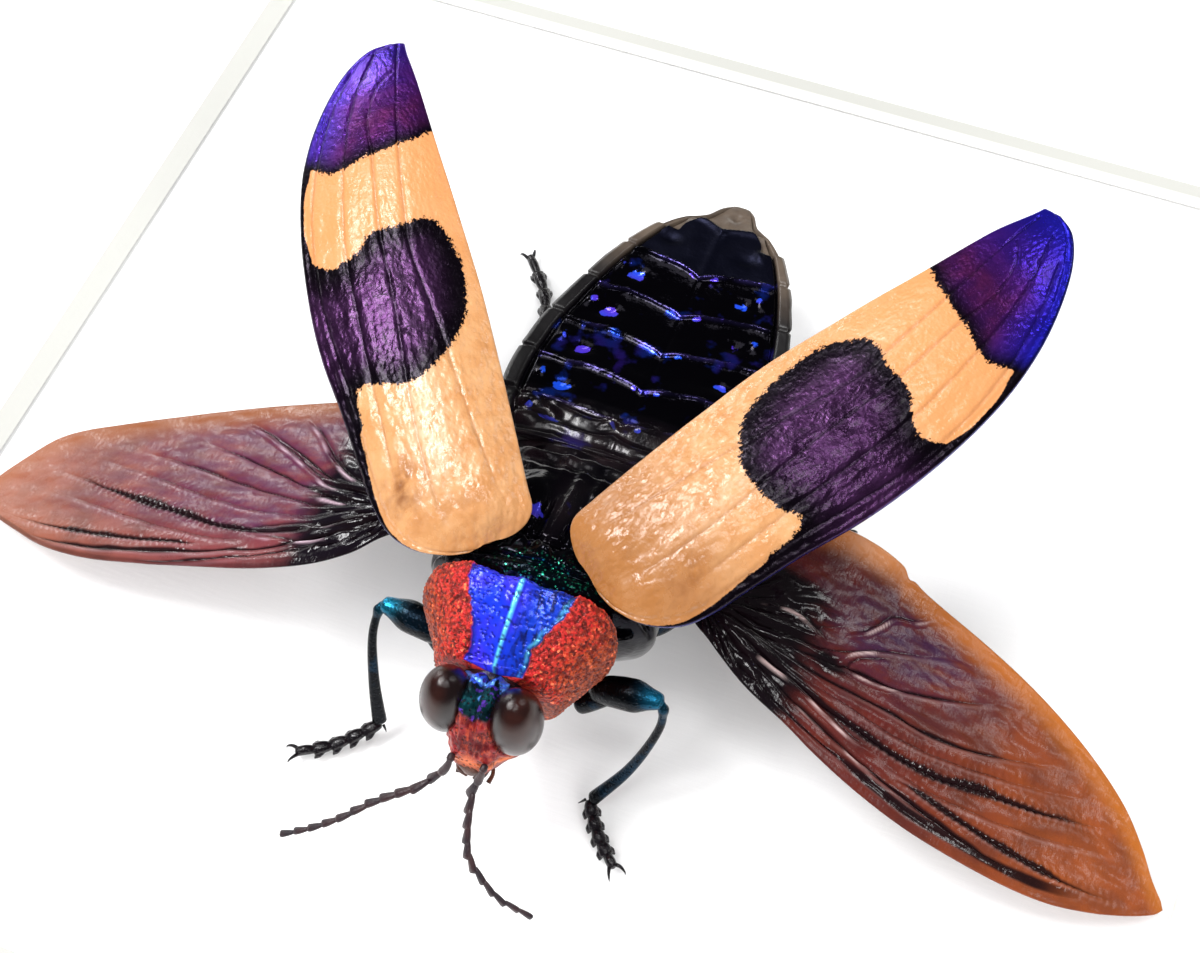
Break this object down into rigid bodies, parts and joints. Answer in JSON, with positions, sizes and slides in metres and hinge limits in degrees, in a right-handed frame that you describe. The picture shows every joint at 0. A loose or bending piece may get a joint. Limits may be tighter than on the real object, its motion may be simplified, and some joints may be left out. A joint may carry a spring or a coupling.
{
  "type": "framed jewel beetle specimen",
  "caption": "Jewel beetle specimen with spread banded wing cases and hind wings, laid out on a white card in a square white frame with a bevelled window mat.",
  "frame": {"origin": "centre of the frame's flat back", "axes": "+Z out of the frame's face, +Y towards the beetle's tail, +X towards the beetle's own left side"},
  "size_m": [0.152, 0.152, 0.0282],
  "materials": {
    "back_board": "matte brown fibreboard",
    "card": "matte white card",
    "mat": "matte white mat board with a pale core at the bevel",
    "frame_paint": "satin white paint on wood",
    "head": "granular metallic red with blue-green at the crown",
    "eye": "polished dark brown",
    "pronotum": "metallic blue band with pits between sparkling red sides",
    "thorax": "glossy black with blue-green glints",
    "abdomen": "glossy black with electric-blue glints and grey-brown sides",
    "elytron": "satin cream-orange with violet bands and tip",
    "wing_membrane": "thin translucent brown membrane with a violet sheen and dark veins",
    "leg": "glossy metallic blue-black",
    "antenna": "satin dark brown"
  },
  "bodies": {
    "root": {"back_board": "back_board", "backing_card": "card", "window_mat": "mat", "frame_rail_left": "frame_paint", "frame_rail_right": "frame_paint", "frame_rail_head": "frame_paint", "frame_rail_tail": "frame_paint", "head": "head", "left_eye": "eye", "right_eye": "eye", "pronotum": "pronotum", "hind_thorax": "thorax", "abdomen": "abdomen", "left_elytron": "elytron", "right_elytron": "elytron", "left_hind_wing": "wing_membrane", "right_hind_wing": "wing_membrane", "left_front_leg": "leg", "right_front_leg": "leg", "left_middle_leg": "leg", "right_middle_leg": "leg", "left_hind_leg": "leg", "right_hind_leg": "leg", "left_antenna": "antenna", "right_antenna": "antenna"}
  },
  "joints": []
}
